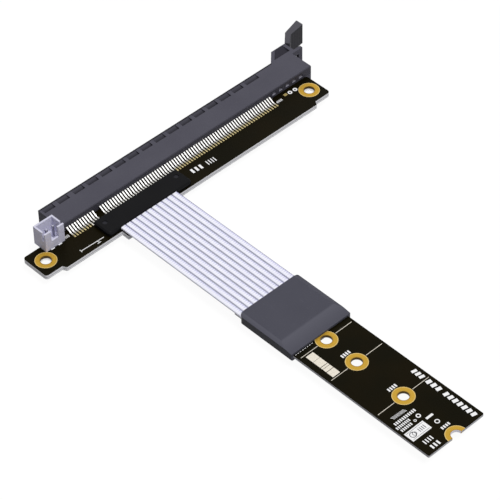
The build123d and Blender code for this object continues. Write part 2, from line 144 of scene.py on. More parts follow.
# %% Tones over a colour
def tint(material, factor, colour):
    """Lays one more tone, a hex value or an output, over a material's base colour by a factor."""
    tree = material.node_tree
    base = tree.nodes["Principled BSDF"].inputs["Base Color"]
    below = base.links[0].from_socket if base.links else tuple(base.default_value)
    above = linear(colour) if isinstance(colour, str) else colour
    mix = add_node(tree, "ShaderNodeMix", {0: factor, 6: below, 7: above}, data_type="RGBA")
    tree.links.new(mix.outputs[2], base)


def inside(material, share=1.0, **limits):
    """A share where every named measure lies between its limits, and nothing elsewhere.

    x, y and z are the place in millimetres. facing_x, facing_y and facing_z are the three parts of
    the face's normal. A limit of None leaves that side open.
    """
    tree = material.node_tree
    place = add_node(tree, "ShaderNodeTexCoord").outputs["Object"]
    normal = add_node(tree, "ShaderNodeNewGeometry").outputs["True Normal"]
    for name, (low, high) in limits.items():
        vector, unit = (normal, 1.0) if name.startswith("facing") else (place, MM)
        value = add_node(tree, "ShaderNodeSeparateXYZ", {0: vector}).outputs["xyz".index(name[-1])]
        for limit, operation in ((low, "GREATER_THAN"), (high, "LESS_THAN")):
            if limit is not None:
                test = add_node(tree, "ShaderNodeMath", {0: value, 1: limit * unit}, operation=operation)
                both = {0: share, 1: test.outputs[0]}
                share = add_node(tree, "ShaderNodeMath", both, operation="MULTIPLY").outputs[0]
    return share


def along(material, axis, start, end, first=0.0, last=1.0):
    """A value that changes evenly between two places on an axis, in millimetres, and not beyond."""
    tree = material.node_tree
    place = add_node(tree, "ShaderNodeTexCoord").outputs["Object"]
    value = add_node(tree, "ShaderNodeSeparateXYZ", {0: place}).outputs["xyz".index(axis)]
    span = {0: value, 1: start * MM, 2: end * MM, 3: first, 4: last}
    return add_node(tree, "ShaderNodeMapRange", span).outputs[0]


def clouds(material, size, detail, colour, low=0.0, high=1.0, share=1.0):
    """Lays one more tone on in soft clouds of a size in millimetres, and returns their noise.

    Noise up to low leaves the colour as it is, and noise from high on has the tone's full share.
    """
    tree = material.node_tree
    place = add_node(tree, "ShaderNodeTexCoord").outputs["Object"]
    pattern = {"Vector": place, "Scale": per_mm(size), "Detail": detail}
    noise = add_node(tree, "ShaderNodeTexNoise", pattern).outputs[0]
    factor = add_node(tree, "ShaderNodeMapRange", {0: noise, 1: low, 2: high, 3: 0.0, 4: share})
    tint(material, factor.outputs[0], colour)
    return noise


def set_stops(ramp, stops):
    """Gives a new colour ramp its stops, each a position from 0 to 1 and a hex colour."""
    ramp.elements.remove(ramp.elements[1])
    for number, (position, colour) in enumerate(stops):
        stop = ramp.elements.new(position) if number else ramp.elements[0]
        stop.position = position
        stop.color = linear(colour)


# %% [markdown]
# New pieces are arrays of points. A surface is a grid: rows along the piece, columns round it. The
# faces follow from the counts alone. Whether they point outwards is measured: the signed volume of a
# closed mesh is positive only then, and one that comes out negative is turned over.


# %% Meshes from arrays
def tube_faces(rows, columns, first=0):
    """Quads between neighbouring rings of a closed tube, with one flat face on each end."""
    ring = np.arange(columns)
    row = np.arange(rows - 1)[:, None] * columns
    following = (ring + 1) % columns
    quads = np.stack([row + ring, row + following, row + columns + following, row + columns + ring], -1)
    ends = [list(ring[::-1] + first), list(ring + (rows - 1) * columns + first)]
    return (quads.reshape(-1, 4) + first).tolist() + ends


def signed_volume(points, faces):
    """A sixth of the triple product of every fan triangle, summed: positive if faces point out."""
    total = 0.0
    for face in faces:
        corners = points[np.array(face)]
        fans = np.cross(corners[1:-1], corners[2:])
        total += np.einsum("j,ij->", corners[0], fans) / 6
    return total


def make_piece(name, points, faces, material, body="main", smooth=False, uv=None):
    """Puts points in millimetres and faces into one mesh object at the origin, on a body."""
    if signed_volume(points, faces) < 0:
        faces = [face[::-1] for face in faces]
    mesh = bpy.data.meshes.new(name)
    mesh.from_pydata((points * MM).tolist(), [], faces)
    mesh.polygons.foreach_set("use_smooth", [smooth] * len(mesh.polygons))
    if uv is not None:
        corner_points = np.zeros(len(mesh.loops), int)
        mesh.loops.foreach_get("vertex_index", corner_points)
        layer = mesh.uv_layers.new(name="UVMap")
        layer.data.foreach_set("uv", uv[corner_points].ravel())
    mesh.materials.append(material)
    mesh.update()
    piece = bpy.data.objects.new(name, mesh)
    bpy.context.scene.collection.objects.link(piece)
    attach(piece, body)
    return piece


print("faces of a box:", len(tube_faces(2, 4)))

# %% [markdown]
# ## The camera
# The picture is taken from above the drive board's left side with a long lens, so the parallel edges
# hardly run together. The angles and the distance were found by fitting a pinhole camera to points
# of known size: the board's screw holes, its corners and the row of contacts.

# %% Camera
camera_turn = math.radians(-42.96)
camera_rise = math.radians(44.28)
camera_roll = math.radians(-1.15)
camera_distance = 739.5
camera_target = Vector((9.72, 11.31, 0.0))
lens_in_pixels = 2530.6
picture_width = 500
sensor_width = 36

back = Vector((
    math.sin(camera_turn) * math.cos(camera_rise),
    -math.cos(camera_turn) * math.cos(camera_rise),
    math.sin(camera_rise),
))
level_right = Vector((math.cos(camera_turn), math.sin(camera_turn), 0))
level_up = back.cross(level_right)
right = level_right * math.cos(camera_roll) + level_up * math.sin(camera_roll)
up = back.cross(right)

camera = bpy.data.objects.new("camera", bpy.data.cameras.new("camera"))
camera.data.sensor_width = sensor_width
camera.data.lens = lens_in_pixels / picture_width * sensor_width
camera.data.clip_start = 0.01
camera.matrix_world = Matrix.Translation((camera_target + back * camera_distance) * MM) @ Matrix(
    (right, up, back)
).transposed().to_4x4()
bpy.context.scene.collection.objects.link(camera)
bpy.context.scene.camera = camera
print("lens in mm:", round(camera.data.lens, 1))

# %% [markdown]
# ## The cable
# The real cable is eleven flat lanes side by side. Inside each are fine wires and a screen, and round
# them a white film is wrapped, whose turns show as small ridges across the lane. We could leave the
# ridges to bump, but at this size they catch the light along the whole cable, so they are modelled.
#
# Each lane follows a route. Its points go into a NURBS curve, Blender hands back the smooth line, and
# the section is carried along it. The section is a superellipse: flat on top, rounded at its edges.

# %% Route of one lane
ROUTE_POINTS = 5
SECTION_COLUMNS = 20
SECTION_POWER = 4.5
RIDGE_PITCH = 0.8
RIDGE_HEIGHT = 0.035
ROWS_PER_RIDGE = 6


def smooth_route(name, points):
    """The points of a NURBS curve of order 3 through the route, clamped at both ends."""
    curve = bpy.data.curves.new(name, "CURVE")
    curve.dimensions = "3D"
    curve.resolution_u = 8
    spline = curve.splines.new("NURBS")
    spline.points.add(len(points) - 1)
    weights = np.ones((len(points), 1))
    spline.points.foreach_set("co", np.hstack([points, weights]).ravel())
    spline.order_u = 3
    spline.use_endpoint_u = True
    holder = bpy.data.objects.new(name, curve)
    line = bpy.data.meshes.new_from_object(holder)
    read = np.zeros(len(line.vertices) * 3)
    line.vertices.foreach_get("co", read)
    bpy.data.objects.remove(holder)
    bpy.data.curves.remove(curve)
    bpy.data.meshes.remove(line)
    return read.reshape(-1, 3)


def lane_surface(route, width, height):
    """Points and UV of a ribbed lane carried along a route, all in millimetres.

    Round the lane, x is half the width times cos to the power 2/n with its sign, and z the same with
    sin, which is a superellipse of power n. Along it, both are made smaller by half the ridge height
    times one minus the cosine of the distance, so a ridge stands at every pitch.
    """
    steps = np.linalg.norm(np.diff(route, axis=0), axis=1)
    travelled = np.concatenate([[0], np.cumsum(steps)])
    rows = int(travelled[-1] / RIDGE_PITCH * ROWS_PER_RIDGE) + 1
    along = np.linspace(0, travelled[-1], rows)
    centre = np.stack([np.interp(along, travelled, route[:, axis]) for axis in range(3)], -1)
    angle = np.linspace(0, 2 * np.pi, SECTION_COLUMNS, endpoint=False)
    side = np.sign(np.cos(angle)) * np.abs(np.cos(angle)) ** (2 / SECTION_POWER)
    rise = np.sign(np.sin(angle)) * np.abs(np.sin(angle)) ** (2 / SECTION_POWER)
    dip = RIDGE_HEIGHT / 2 * (1 - np.cos(2 * np.pi * along / RIDGE_PITCH))[:, None]
    points = centre[:, None, :] + np.zeros((1, SECTION_COLUMNS, 1))
    points[:, :, 0] += side * (width / 2 - dip)
    points[:, :, 2] += rise * (height / 2 - dip)
    uv = np.stack(np.broadcast_arrays((side + 1) / 2, along[:, None] / RIDGE_PITCH), -1)
    return points.reshape(-1, 3), uv.reshape(-1, 2), tube_faces(rows, SECTION_COLUMNS)


print("points on a millimetre of lane:", round(SECTION_COLUMNS * ROWS_PER_RIDGE / RIDGE_PITCH))

# %% [markdown]
# The film is polyester: white, a little lilac and smooth, with the glint of the screen below it. Across
# each lane its colour is painted from white through lilac to dark grey at the right edge: painted shade
# of the rounded edge, which shows as a fine grey line between the lanes. The valleys between the
# ridges get painted shade too.
# The graph reads the lane's own UV map: 0 to 1 across the lane, and one more for every turn along it.


# %% Film of the cable
# Painted shade across a lane: white on its left, lilac in the middle, dark grey at its right edge
LANE_SHADE_STOPS = (
    (0.0, "#F4F4FF"), (0.5, "#F6F6FF"), (0.78, "#DCDCF2"),
    (0.85, "#ACACC8"), (0.9, "#56566E"), (1.0, "#4A4A60"),
)
FILM_CLOUD = 6
# Where and how strongly the valleys between the ridges get painted shade
VALLEY_EDGE, VALLEY_CORE = 0.22, 0.08
VALLEY_FROM, VALLEY_TO = 0.25, 0.75
VALLEY_WEAK, VALLEY_STRONG = 0.12, 0.6


def polyester_film():
    """Polyester film in narrow turns: white, satin, with painted shade at one edge and in the valleys."""
    material, tree, _, _ = start_material(
        "polyester_film", "#F6F6FF", Roughness=0.42, Specular_IOR_Level=0.35, IOR=1.57
    )
    uv = add_node(tree, "ShaderNodeUVMap", uv_map="UVMap").outputs[0]
    across, turns, _ = add_node(tree, "ShaderNodeSeparateXYZ", {0: uv}).outputs
    # The ramp paints the lane's shade across it, darkest at its right edge
    lane_shade = add_node(tree, "ShaderNodeValToRGB", {0: across})
    set_stops(lane_shade.color_ramp, LANE_SHADE_STOPS)
    tint(material, 1.0, lane_shade.outputs[0])

    # The valley between two ridges lies half a turn on and gets painted shade, more towards the dark edge
    turn = add_node(tree, "ShaderNodeMath", {0: turns}, operation="FRACT")
    offset = add_node(tree, "ShaderNodeMath", {0: turn.outputs[0], 1: 0.5}, operation="SUBTRACT")
    distance = add_node(tree, "ShaderNodeMath", {0: offset.outputs[0]}, operation="ABSOLUTE")
    rise = {0: across, 1: VALLEY_FROM, 2: VALLEY_TO, 3: VALLEY_WEAK, 4: VALLEY_STRONG}
    strength = add_node(tree, "ShaderNodeMapRange", rise).outputs[0]
    trough = {0: distance.outputs[0], 1: VALLEY_EDGE, 2: VALLEY_CORE, 3: 0.0, 4: strength}
    valley_shade = add_node(tree, "ShaderNodeMapRange", trough)
    tint(material, valley_shade.outputs[0], "#A6A6D4")
    clouds(material, FILM_CLOUD, 3, "#D2D2F0", 0.4, 0.8, 0.22)
    return material


print("stops across a lane:", len(LANE_SHADE_STOPS))

# %% [markdown]
# Each lane takes its width, height and length from the solid that it replaces. It lies straight and
# taut, from one end of that solid to the other.

# %% Lanes of the cable
film = polyester_film()
lane_names = sorted(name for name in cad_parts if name.startswith("ribbon_lane_"))
for lane_name in lane_names:
    low, high = box_mm(lane_name)
    middle = (low + high) / 2
    route = np.linspace((middle[0], low[1], middle[2]), (middle[0], high[1], middle[2]), ROUTE_POINTS)
    line = smooth_route(lane_name + "_route", route)
    width, height = high[0] - low[0], high[2] - low[2]
    points, uv, faces = lane_surface(line, width, height)
    lane = make_piece(
        lane_name + "_film", points, faces, film, smooth=True, uv=uv
    )
    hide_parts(lane_name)
lane_length = round(high[1] - low[1], 1)
print("lanes:", len(lane_names), "each", lane_length, "mm long, with", len(faces), "faces")

# %% [markdown]
# ## Light and floor
# The light is plain: an even sky that fills every side, and one wide, soft sun from above that gives
# the tops about twice the light of the walls. Their strengths are chosen together, so that a face
# that lies flat gets a level of one and a colour renders about as it is written.
#
# The background has to be white without adding light. So the sky and the floor are white only for
# rays that come from the camera or from a reflection. The rays that light the object see a dimmer
# sky and a greyer floor.

# %% Light, sky and floor
SKY_LEVEL = 0.28
WHITE = (1, 1, 1, 1)
sun_direction = Vector((0.02, -0.38, 0.92)).normalized()
sun_share = 1 - SKY_LEVEL
sun_softness = math.radians(28)

scene = bpy.context.scene
scene.view_settings.view_transform = "Standard"
sun = bpy.data.objects.new("sun", bpy.data.lights.new("sun", "SUN"))
sun.data.energy = sun_share * math.pi / sun_direction.z
sun.data.angle = sun_softness
sun.rotation_euler = sun_direction.to_track_quat("Z", "Y").to_euler()
scene.collection.objects.link(sun)


def seen_directly(tree):
    """One for rays from the camera, from a reflection or through a clear body, else nothing."""
    path = add_node(tree, "ShaderNodeLightPath").outputs
    either = add_node(
        tree, "ShaderNodeMath", {0: path["Is Camera Ray"], 1: path["Is Glossy Ray"]}, operation="MAXIMUM"
    )
    both = {0: either.outputs[0], 1: path["Is Transmission Ray"]}
    return add_node(tree, "ShaderNodeMath", both, operation="MAXIMUM").outputs[0]


world = bpy.data.worlds.new("studio")
scene.world = world
world.use_nodes = True
sky = world.node_tree
sky_strength = add_node(sky, "ShaderNodeMapRange", {0: seen_directly(sky), 3: SKY_LEVEL, 4: 1.0})
sky.nodes["Background"].inputs["Color"].default_value = WHITE
sky.links.new(sky_strength.outputs[0], sky.nodes["Background"].inputs["Strength"])

# %% [markdown]
# The floor is a sheet of paper at the lowest point of the object. What the camera sees of it mostly
# glows, and a small share takes the shadow, so that the shadow is only a hint.

# %% Floor
FLOOR_HALF = 3000
FLOOR_THICKNESS = 10
SHADOW_SHARE = 0.07
PAPER_GLOW = 1.02

floor_material = bpy.data.materials.new("studio_paper")
floor_material.use_nodes = True
paper = floor_material.node_tree
paper.nodes.remove(paper.nodes["Principled BSDF"])
glow = add_node(paper, "ShaderNodeEmission", {"Color": WHITE, "Strength": PAPER_GLOW})
white = add_node(paper, "ShaderNodeBsdfDiffuse", {"Color": WHITE})
grey = add_node(paper, "ShaderNodeBsdfDiffuse", {"Color": linear("#8A8A8A")})
shown = add_node(
    paper, "ShaderNodeMixShader", {0: SHADOW_SHARE, 1: glow.outputs[0], 2: white.outputs[0]}
)
chosen = add_node(
    paper, "ShaderNodeMixShader", {0: seen_directly(paper), 1: grey.outputs[0], 2: shown.outputs[0]}
)
paper.links.new(chosen.outputs[0], paper.nodes["Material Output"].inputs["Surface"])

floor_level = cad_low.z / MM
corners = np.array(((-1, -1), (1, -1), (1, 1), (-1, 1))) * FLOOR_HALF
floor_points = np.vstack([
    np.column_stack([corners, np.full(4, floor_level - FLOOR_THICKNESS)]),
    np.column_stack([corners, np.full(4, floor_level)]),
])
floor_mesh = bpy.data.meshes.new("floor")
floor_mesh.from_pydata((floor_points * MM).tolist(), [], tube_faces(2, 4))
floor_mesh.materials.append(floor_material)
floor = bpy.data.objects.new("floor", floor_mesh)
scene.collection.objects.link(floor)
print("floor level in mm:", round(floor_level, 2))


# %% [markdown]
# ## The boards
# Both boards are woven glass in epoxy, with copper foil on each face and a coat of solder mask over
# it, here a near-black one with a brown cast. The mask is only on the faces. On the sawn edges the
# pale laminate shows, with the dark line of an inner copper layer. An edge is told from a face that
# lies flat by its normal, and its layers follow the height below the top face.


# %% Solder mask over laminate
MASK_CLOUD = 14
THREAD_PITCH = 0.9
WEAVE_DEPTH = 0.02
MASK_AT_EDGE = "#2A2418"


def masked_laminate(name, thickness, pale, grey):
    """Solder mask on both faces, and on the edges two pale layers with a grey line between."""
    material, tree, shader, place = start_material(
        name, "#0A0903", Specular_IOR_Level=0.05, Specular_Tint=linear("#FFEDBC"), Roughness=0.38
    )
    clouds(material, MASK_CLOUD, 2, "#100C03", 0.35, 0.65)
    depth = along(material, "z", 0, -thickness)
    layers = add_node(tree, "ShaderNodeValToRGB", {0: depth})
    layers.color_ramp.interpolation = "CONSTANT"
    stops = ((0.0, MASK_AT_EDGE), (0.06, pale), (0.5, grey), (0.58, pale), (0.96, MASK_AT_EDGE))
    set_stops(layers.color_ramp, stops)
    tint(material, inside(material, facing_z=(-0.5, 0.5)), layers.outputs[0])

    # The weave of the glass cloth prints through the mask as a faint grid
    thread = 2 * math.pi * per_mm(THREAD_PITCH)
    stretched = add_node(tree, "ShaderNodeVectorMath", {0: place, "Scale": thread}, operation="SCALE")
    waves = add_node(tree, "ShaderNodeVectorMath", {0: stretched.outputs[0]}, operation="SINE")
    grid = add_node(tree, "ShaderNodeSeparateXYZ", {0: waves.outputs[0]}).outputs
    weave = add_node(tree, "ShaderNodeMath", {0: grid[0], 1: grid[1]}, operation="MULTIPLY")
    relief = {"Height": weave.outputs[0], "Strength": 0.12, "Distance": WEAVE_DEPTH * MM}
    bump = add_node(tree, "ShaderNodeBump", relief)
    tree.links.new(bump.outputs[0], shader.inputs["Normal"])
    return material


for board, pale, grey in (("slot_board", "#F0F0F4", "#8C8A92"), ("drive_board", "#C4C4CA", "#66656C")):
    low, high = box_mm(board)
    board_thickness = high[2] - low[2]
    dress([board], masked_laminate("masked_laminate_" + board, board_thickness, pale, grey))
    print(board, "is", round(board_thickness, 2), "mm thick")


# %% [markdown]
# ## Moulded plastics
# The card slot, its latch and the sleeve are glass-filled polymers: stiff, dark grey with a violet
# cast and a fine satin grain from the spark-eroded mould. A mould also can't make a dead sharp edge,
# so each edge turns over a small radius and catches a thin line of light. The Bevel node gives that
# turn to the shading alone. The cover is a polished black polymer, with the same recipe and less grain.


# %% Moulded polymer
POLYMER_CLOUD = 9
FLECK_SIZE = 0.5
PIT_SIZE = 0.22
PIT_DEPTH = 0.03


def moulded(name, colour, shade, roughness, grain, edge, specular=0.1, flecks=0.06):
    """Moulded polymer: two close shades in soft clouds, a grain, and edges of a small radius."""
    material, tree, shader, place = start_material(
        name, colour, Roughness=roughness, Specular_IOR_Level=specular
    )
    clouds(material, POLYMER_CLOUD, 4, shade, 0.35, 0.65)
    clouds(material, FLECK_SIZE, 2, "#8A8994", 0.62, 0.75, flecks)
    rounded = add_node(tree, "ShaderNodeBevel", {"Radius": edge * MM}, samples=6)
    pattern = {"Vector": place, "Scale": per_mm(PIT_SIZE), "Detail": 2.0}
    pits = add_node(tree, "ShaderNodeTexNoise", pattern)
    bump = add_node(tree, "ShaderNodeBump", {
        "Height": pits.outputs[0], "Strength": grain, "Distance": PIT_DEPTH * MM,
        "Normal": rounded.outputs[0],
    })
    tree.links.new(bump.outputs[0], shader.inputs["Normal"])
    return material


housing_polymer = moulded("glass_filled_polymer", "#504F59", "#4C4B55", 0.55, 0.5, 0.2)
latch_nylon = moulded("glass_filled_nylon", "#525157", "#4D4C53", 0.5, 0.45, 0.25)
sleeve_polyamide = moulded("moulded_polyamide", "#4A4A54", "#484852", 0.5, 0.4, 0.35)
cover_polymer = moulded("polished_black_polymer", "#131315", "#101012", 0.3, 0.1, 0.2, 0.06, 0.0)
dress(["slot_housing"], housing_polymer)
dress(["card_latch"], latch_nylon)
dress(["cable_sleeve"], sleeve_polyamide)
dress(["cable_cover"], cover_polymer)
print("clouds, flecks and pits in mm:", POLYMER_CLOUD, FLECK_SIZE, PIT_SIZE)


# %% [markdown]
# The housing's colour carries painted light and shade. Upward faces below the top are painted darker
# the deeper they lie, and painted shade darkens the recesses at the mouth, the tower's panel and the
# faces that look left. The rear wall is painted a little darker than the top as shade, and the pockets
# in it are painted pale, as painted light against their shade. Each place is a box in the frame, a way
# that a face looks, or both, and a later tone covers an earlier one. The lengths below are measured
# from the housing's own edges.

# %% Painted light and shade of the housing
UPWARD = (0.5, None)
LEFTWARD = (None, -0.7)
TOWER_LENGTH = 12.6
MOUTH_BAND = 4.4
PANEL_BAND = 3.6
POCKET_TOP = 0.9
POCKET_FLOOR = 0.7
housing_right, housing_mouth, housing_top = box_mm("slot_housing")[1]
board_back = box_mm("slot_board")[1][1]
contacts_right = box_mm("contacts_upper")[1][0]
below_top = (None, housing_top - 0.01)
# Painted shade: upward faces below the top get darker the deeper they lie
sunk_shade = along(housing_polymer, "z", housing_top - 0.1, housing_top - 0.6, 0.2, 1.0)
# Painted shade on the recesses, left-facing faces, rear wall and tower panel; painted light on the
# pockets
housing_painted_light_and_shade = (
    ("#26252C", sunk_shade, {"z": below_top, "facing_z": UPWARD}),
    ("#2A292F", 1.0, {
        "x": (None, housing_right - TOWER_LENGTH), "y": (housing_mouth - MOUTH_BAND, None),
        "facing_z": UPWARD,
    }),
    ("#33323A", 1.0, {"facing_x": LEFTWARD}),
    ("#403F48", 1.0, {"y": (None, board_back + 0.3), "z": (0.0, None), "facing_y": (None, -0.5)}),
    ("#85848F", 1.0, {
        "x": (contacts_right + 0.3, None), "y": (board_back + 0.02, board_back + POCKET_FLOOR),
        "z": (0.0, housing_top - POCKET_TOP),
    }),
    ("#2B2A32", 1.0, {"y": (housing_mouth - PANEL_BAND, None), "z": below_top, "facing_z": UPWARD}),
)
for colour, share, limits in housing_painted_light_and_shade:
    tint(housing_polymer, inside(housing_polymer, share, **limits), colour)
print("housing's mouth at y =", round(housing_mouth, 2), "mm, board's back at y =", round(board_back, 2))

# %% [markdown]
# The front of the latch's finger tab is painted dark as shade, with stripes of that shade across it
# for grip ribs. The sleeve's slopes to the left and the back get a painted highlight, lightest just
# below its flat top and fading further down, and its faces that look left are painted nearly black as
# shade. The floor of the cover's dimple is a little paler than its skin.

# %% Painted shade and highlight of the latch and the sleeve, and the cover's dimple
RIB_PITCH = 0.9
SLOPE_START, SLOPE_FULL = 0.02, 0.12
FADE_START, FADE_END = 0.15, 0.8
DIMPLE_DEPTH = 0.1
# Painted shade on the tab's front faces, in stripes for grip ribs
tree = latch_nylon.node_tree
place = add_node(tree, "ShaderNodeTexCoord").outputs["Object"]
sideways = add_node(tree, "ShaderNodeSeparateXYZ", {0: place}).outputs[0]
stretch = {0: sideways, 1: 2 * math.pi * per_mm(RIB_PITCH)}
phase = add_node(tree, "ShaderNodeMath", stretch, operation="MULTIPLY")
rib = add_node(tree, "ShaderNodeMath", {0: phase.outputs[0]}, operation="SINE")
rib_shade = add_node(tree, "ShaderNodeMapRange", {0: rib.outputs[0], 1: -1.0, 2: 1.0, 3: 0.8, 4: 1.0})
tint(latch_nylon, inside(latch_nylon, rib_shade.outputs[0], facing_y=(None, -0.7)), "#1A191F")

sleeve_top = box_mm("cable_sleeve")[1][2]
# Painted highlight on the slopes to the left and the back, lightest just below the top
slope = along(sleeve_polyamide, "z", sleeve_top - SLOPE_START, sleeve_top - SLOPE_FULL)
fading = along(sleeve_polyamide, "z", sleeve_top - FADE_START, sleeve_top - FADE_END, slope, 0.2)
slope_highlight = inside(sleeve_polyamide, fading, facing_x=(None, 0.1), facing_z=UPWARD)
tint(sleeve_polyamide, slope_highlight, "#565660")
# Painted shade: faces that look left are nearly black
tint(sleeve_polyamide, inside(sleeve_polyamide, facing_x=LEFTWARD), "#26262D")

cover_low, cover_high = box_mm("cable_cover")
dimple = inside(cover_polymer, z=(None, cover_high[2] - DIMPLE_DEPTH), facing_z=(0.95, None))
tint(cover_polymer, dimple, "#2C2C31")
print("sleeve's top at z =", round(sleeve_top, 2), "mm, cover's at z =", round(cover_high[2], 2), "mm")


# %% [markdown]
# The power header is natural nylon without pigment. It is milky: light enters, scatters and comes out
# again nearby, so thin rims glow. Subsurface scattering with a radius of about the wall does that.


# %% Natural nylon
NYLON_CLOUD = 2.5
SCATTER_RADIUS = 0.4
NYLON_EDGE = 0.12


def natural_nylon():
    """Natural nylon, injection moulded: milky, a little violet, with light spread under the skin."""
    material, tree, shader, _ = start_material(
        "natural_nylon", "#D6D5E6", Roughness=0.55, Specular_IOR_Level=0.15,
        Subsurface_Weight=0.15, Subsurface_Scale=SCATTER_RADIUS * MM, Subsurface_Radius=(1.0, 1.0, 1.1),
    )
    clouds(material, NYLON_CLOUD, 3, "#C9C8DB")
    rounded = add_node(tree, "ShaderNodeBevel", {"Radius": NYLON_EDGE * MM}, samples=6)
    tree.links.new(rounded.outputs[0], shader.inputs["Normal"])
    return material


dress(["header_housing"], natural_nylon())
print("header's top at z =", round(box_mm("header_housing")[1][2], 2), "mm")


# %% [markdown]
# ## Metals
# The rings, pads and fingers are gold over nickel over copper. Plating has no pattern of its own: what
# shows is the grain of the copper below. On a ring the lip at the hole is darker, and the outer rim is
# paler. The hole's wall is painted dark at the top as shade, and further down it is painted white, a
# painted reflection of the white paper. The half hole's open wall is painted pale, as painted light.


# %% Gold
HOLE_RADIUS = 1.7
LIP_START, LIP_END = HOLE_RADIUS + 0.05, HOLE_RADIUS + 0.45
WALL_END = HOLE_RADIUS + 0.03
RIM_WIDTH = 0.3
REFLECTION_PAINT_TOP, REFLECTION_PAINT_FULL = -0.7, -1.0
GOLD_GRAIN = 0.7
GRAIN_DEPTH = 0.02


def immersion_gold(name):
    """Immersion gold over etched copper: warm and softly grained."""
    material, tree, shader, _ = start_material(
        name, "#C89F35", Metallic=0.6, Roughness=0.5, Specular_IOR_Level=0.2
    )
    grain = clouds(material, GOLD_GRAIN, 3, "#BA953A")
    relief = {"Height": grain, "Strength": 0.15, "Distance": GRAIN_DEPTH * MM}
    bump = add_node(tree, "ShaderNodeBump", relief)
    tree.links.new(bump.outputs[0], shader.inputs["Normal"])
    return material


def ring_gold(name, centre, ring_radius, painted_wall_tone):
    """Immersion gold on a ring: its tones follow the distance from the hole's centre line."""
    material = immersion_gold(name)
    tree = material.node_tree
    place = add_node(tree, "ShaderNodeTexCoord").outputs["Object"]
    flat = {0: place, 1: (1, 1, 0), 2: (-centre[0] * MM, -centre[1] * MM, 0)}
    offset = add_node(tree, "ShaderNodeVectorMath", flat, operation="MULTIPLY_ADD")
    distance = add_node(tree, "ShaderNodeVectorMath", {0: offset.outputs[0]}, operation="LENGTH")
    radius = distance.outputs["Value"]
    lip_darkening = {0: radius, 1: LIP_START * MM, 2: LIP_END * MM, 3: 0.55, 4: 0.0}
    tint(material, add_node(tree, "ShaderNodeMapRange", lip_darkening).outputs[0], "#8A6420")
    rim = {0: radius, 1: (ring_radius - RIM_WIDTH) * MM, 2: ring_radius * MM}
    tint(material, add_node(tree, "ShaderNodeMapRange", rim).outputs[0], "#E6CD8E")
    # Painted shade on the hole's wall; on the half hole's open wall, pale painted light
    hole = {0: radius, 1: WALL_END * MM}
    wall = add_node(tree, "ShaderNodeMath", hole, operation="LESS_THAN").outputs[0]
    tint(material, wall, painted_wall_tone)
    # Painted reflection of the white paper, lower down the hole's wall
    tint(material, along(material, "z", REFLECTION_PAINT_TOP, REFLECTION_PAINT_FULL, 0.0, wall), "#FFFFFF")
    return material


rings = [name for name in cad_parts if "_ring_" in name]
for ring in rings:
    low, high = box_mm(ring)
    # Hole walls get painted shade; the half hole's open wall is painted pale as light
    centre, painted_wall_tone = (low + high) / 2, "#4A3812"
    if ring == "half_ring_80":
        centre[1], painted_wall_tone = low[1], "#C9C8D2"
    dress([ring], ring_gold("gold_" + ring, centre, (high[0] - low[0]) / 2, painted_wall_tone))
pads = ["gold_fingers_top", "gold_fingers_bottom", "cable_pads_slot", "cable_pads_drive"]
dress(pads, immersion_gold("gold_pads"))
print("rings:", len(rings), "with a rim of", RIM_WIDTH, "mm")


# %% [markdown]
# The contacts are bronze strip under bright tin, which is nearly white, and so is their solder. The
# gold of the pads shows through both at the toes of the feet, where the cover leaves them in sight.
# The steep flanks of the solder are painted dark, a painted reflection of the black mask beside them.


# %% Tin and solder
TIN_CLOUD = 0.8
TIN_DEPTH = 0.02
TOE_FADE = 0.5


def electroplated_tin(name, colour, shade, roughness, metallic=0.8):
    """Tin, electroplated and reflowed: nearly white, with soft clouds of a second shade."""
    material, tree, shader, _ = start_material(name, colour, Metallic=metallic, Roughness=roughness)
    cloud = clouds(material, TIN_CLOUD, 3, shade)
    relief = {"Height": cloud, "Strength": 0.1, "Distance": TIN_DEPTH * MM}
    bump = add_node(tree, "ShaderNodeBump", relief)
    tree.links.new(bump.outputs[0], shader.inputs["Normal"])
    return material


tin = electroplated_tin("bright_tin", "#F6F5F2", "#EAE9E6", 0.3)
dress(["contacts_upper", "contacts_lower"], tin)
dress(["header_pins"], electroplated_tin("dull_tin", "#B4B3C2", "#A4A3B4", 0.45))
dress(["test_pad"], electroplated_tin("oxidised_tin", "#B7A468", "#A39058", 0.5, 0.5))
solder = electroplated_tin("solder", "#FAF9F4", "#EFEDE4", 0.4, 0.3)

foot_start = box_mm("contacts_upper")[0][1]
for metal, toe_length, toe_colour in ((solder, 1.6, "#B8A874"), (tin, 1.2, "#D0C08C")):
    toe_end = foot_start + toe_length
    toe = along(metal, "y", toe_end, toe_end - TOE_FADE)
    for beside_cover in ((None, cover_low[0]), (cover_high[0], None)):
        tint(metal, inside(metal, toe, x=beside_cover), toe_colour)
# Painted reflection of the black mask on the solder's steep flanks
for flank in ((None, -0.5), (0.5, None)):
    tint(solder, inside(solder, facing_x=flank), "#3E3A2C")
print("feet start at y =", round(foot_start, 2), "mm")

# %% [markdown]
# ## Solder joints
# Every contact foot is soldered to a pad. The molten solder wets the foot and the pad and freezes in
# a hollow slope, so each foot lies in a small long mound, creamy where the gold of the pad shows
# through. One mound is a low dome on a grid of two parameters, and all 82 are made as one array.

# %% Solder mounds
MOUND_ROWS = 5
MOUND_COLUMNS = 8
MOUND_OVERHANG = 0.06
MOUND_RISE = 0.06
MOUND_POWER = 4
MOUND_CLOSING = 0.9
FOOT_THICKNESS = 0.22
CONTACT_WIDTH = 0.45
CONTACT_PITCH = 1.0
FOOT_LENGTH = 2.1
KEY_STEP = 3.0
CONTACTS_BEFORE_KEY = 11


def contact_places():
    """Centres of the contacts along the slot, with a wider step at the key."""
    low, high = box_mm("contacts_upper")
    first = low[0] + CONTACT_WIDTH / 2
    count = round((high[0] - low[0] - CONTACT_WIDTH - KEY_STEP) / CONTACT_PITCH) + 2
    places = first + np.arange(count) * CONTACT_PITCH
    places[CONTACTS_BEFORE_KEY:] += KEY_STEP - CONTACT_PITCH
    return places


